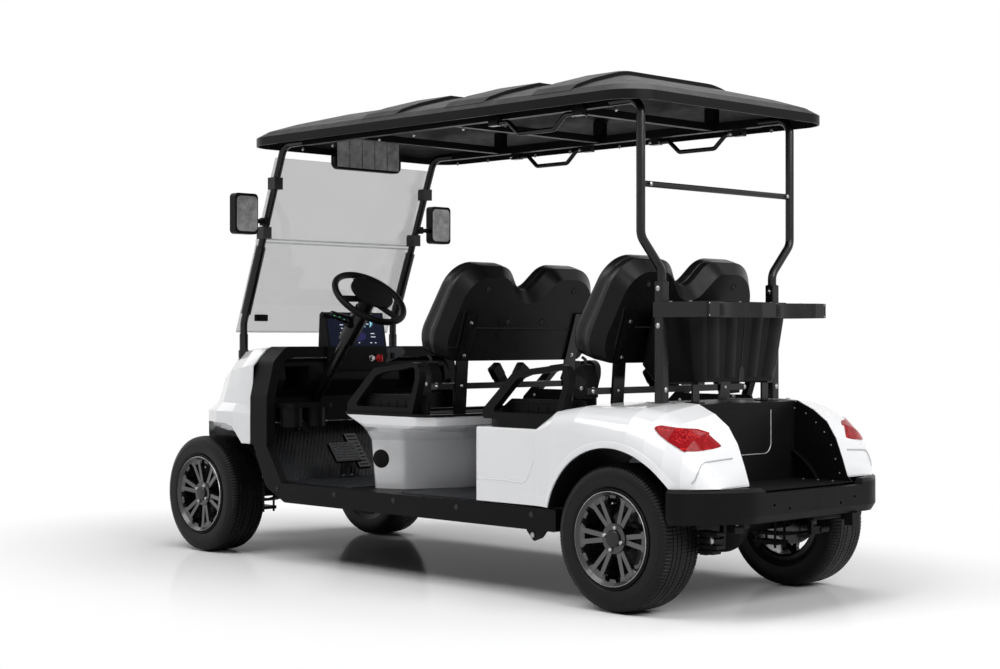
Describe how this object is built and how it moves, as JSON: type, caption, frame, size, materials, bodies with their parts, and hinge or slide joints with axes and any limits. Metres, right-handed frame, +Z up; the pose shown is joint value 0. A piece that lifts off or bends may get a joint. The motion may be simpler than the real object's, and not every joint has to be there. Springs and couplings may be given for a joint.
{
  "type": "four-seat golf cart",
  "caption": "Four-seat electric golf cart with canopy roof, tinted windshield, paired backrests, rear bag well and basket.",
  "frame": {"origin": "on the ground, midway between the tips of the bumpers and on the centre plane", "axes": "+X forward, +Y to the cart's left, +Z up"},
  "size_m": [3.25, 1.248, 1.917],
  "materials": {
    "tyre": "matt road tyre",
    "rim_alloy": "machined and black alloy",
    "white_body": "gloss white",
    "black_steel": "satin black",
    "black_tube": "semi-gloss black",
    "black_plastic": "fine-grained black",
    "roof_plastic": "grained dark grey",
    "mat_rubber": "diamond-pattern rubber",
    "seat_vinyl": "black stitched leather look",
    "tinted_glass": "grey tint",
    "clear_lens": "clear",
    "red_lens": "moulded red lens",
    "battery_case": "plain"
  },
  "bodies": {
    "chassis": {"bag_rack": "black_tube", "bag_well": "black_plastic", "basket_brackets": "black_tube", "battery_pack": "battery_case", "cabin_mirror": "black_plastic", "chassis_frame": "black_steel", "cowl_frame": "black_plastic", "cup_holder": "black_plastic", "dashboard": "black_plastic", "display_unit": "black_plastic", "floor_mat": "mat_rubber", "floor_pan": "black_plastic", "front_armrests": "black_plastic", "front_axle": "black_steel", "front_backrest_pad": "seat_vinyl", "front_backrest_shell": "black_plastic", "front_bumper": "black_plastic", "front_cowl": "white_body", "front_pod": "white_body", "front_posts": "black_tube", "front_seat_posts": "black_tube", "front_seat_tray": "black_plastic", "front_suspension": "black_steel", "grab_handles": "black_tube", "headlights": "clear_lens", "pedals": "black_tube", "rear_armrests": "black_plastic", "rear_axle": "black_steel", "rear_backrest_pad": "seat_vinyl", "rear_backrest_shell": "black_plastic", "rear_basket": "black_plastic", "rear_bumper": "black_plastic", "rear_deck": "white_body", "rear_fender_left": "white_body", "rear_fender_right": "white_body", "rear_posts": "black_tube", "rear_seat_posts": "black_tube", "rear_seat_tray": "black_plastic", "rear_suspension": "black_steel", "roof_canopy": "roof_plastic", "roof_rails": "black_tube", "seat_belts": "black_plastic", "side_mirrors": "black_plastic", "side_sills": "black_plastic", "steering_column": "black_tube", "tail_lights": "red_lens", "windshield": "tinted_glass"},
    "wheel_rear_left": {"tyre_rear_left": "tyre", "rim_rear_left": "rim_alloy"},
    "wheel_rear_right": {"tyre_rear_right": "tyre", "rim_rear_right": "rim_alloy"},
    "wheel_front_left": {"tyre_front_left": "tyre", "rim_front_left": "rim_alloy"},
    "wheel_front_right": {"tyre_front_right": "tyre", "rim_front_right": "rim_alloy"},
    "knuckle_left": {"knuckle_left": "black_steel"},
    "knuckle_right": {"knuckle_right": "black_steel"},
    "steering_wheel": {"steering_wheel": "black_plastic"}
  },
  "joints": [
    {"name": "spin_rear_left", "type": "hinge", "parent": "chassis", "child": "wheel_rear_left", "pos_m": [-1.184, 0.482, 0.254], "axis": [0, 1, 0], "continuous": true},
    {"name": "spin_rear_right", "type": "hinge", "parent": "chassis", "child": "wheel_rear_right", "pos_m": [-1.184, -0.482, 0.254], "axis": [0, 1, 0], "continuous": true},
    {"name": "spin_front_left", "type": "hinge", "parent": "knuckle_left", "child": "wheel_front_left", "pos_m": [1.26, 0.482, 0.254], "axis": [0, 1, 0], "continuous": true},
    {"name": "spin_front_right", "type": "hinge", "parent": "knuckle_right", "child": "wheel_front_right", "pos_m": [1.26, -0.482, 0.254], "axis": [0, 1, 0], "continuous": true},
    {"name": "steering", "type": "hinge", "parent": "chassis", "child": "steering_wheel", "pos_m": [0.476, 0.252, 1.11], "axis": [-0.6428, 0, 0.766], "range_deg": [-450, 450]},
    {"name": "steer_left", "type": "hinge", "parent": "chassis", "child": "knuckle_left", "pos_m": [1.26, 0.422, 0.254], "axis": [0, 0, 1], "range_deg": [-30, 30]},
    {"name": "steer_right", "type": "hinge", "parent": "chassis", "child": "knuckle_right", "pos_m": [1.26, -0.422, 0.254], "axis": [0, 0, 1], "range_deg": [-30, 30]}
  ],
  "couplings": [
    {"joint": "steer_left", "follows": "steering", "ratio": 0.066667},
    {"joint": "steer_right", "follows": "steering", "ratio": 0.066667}
  ]
}
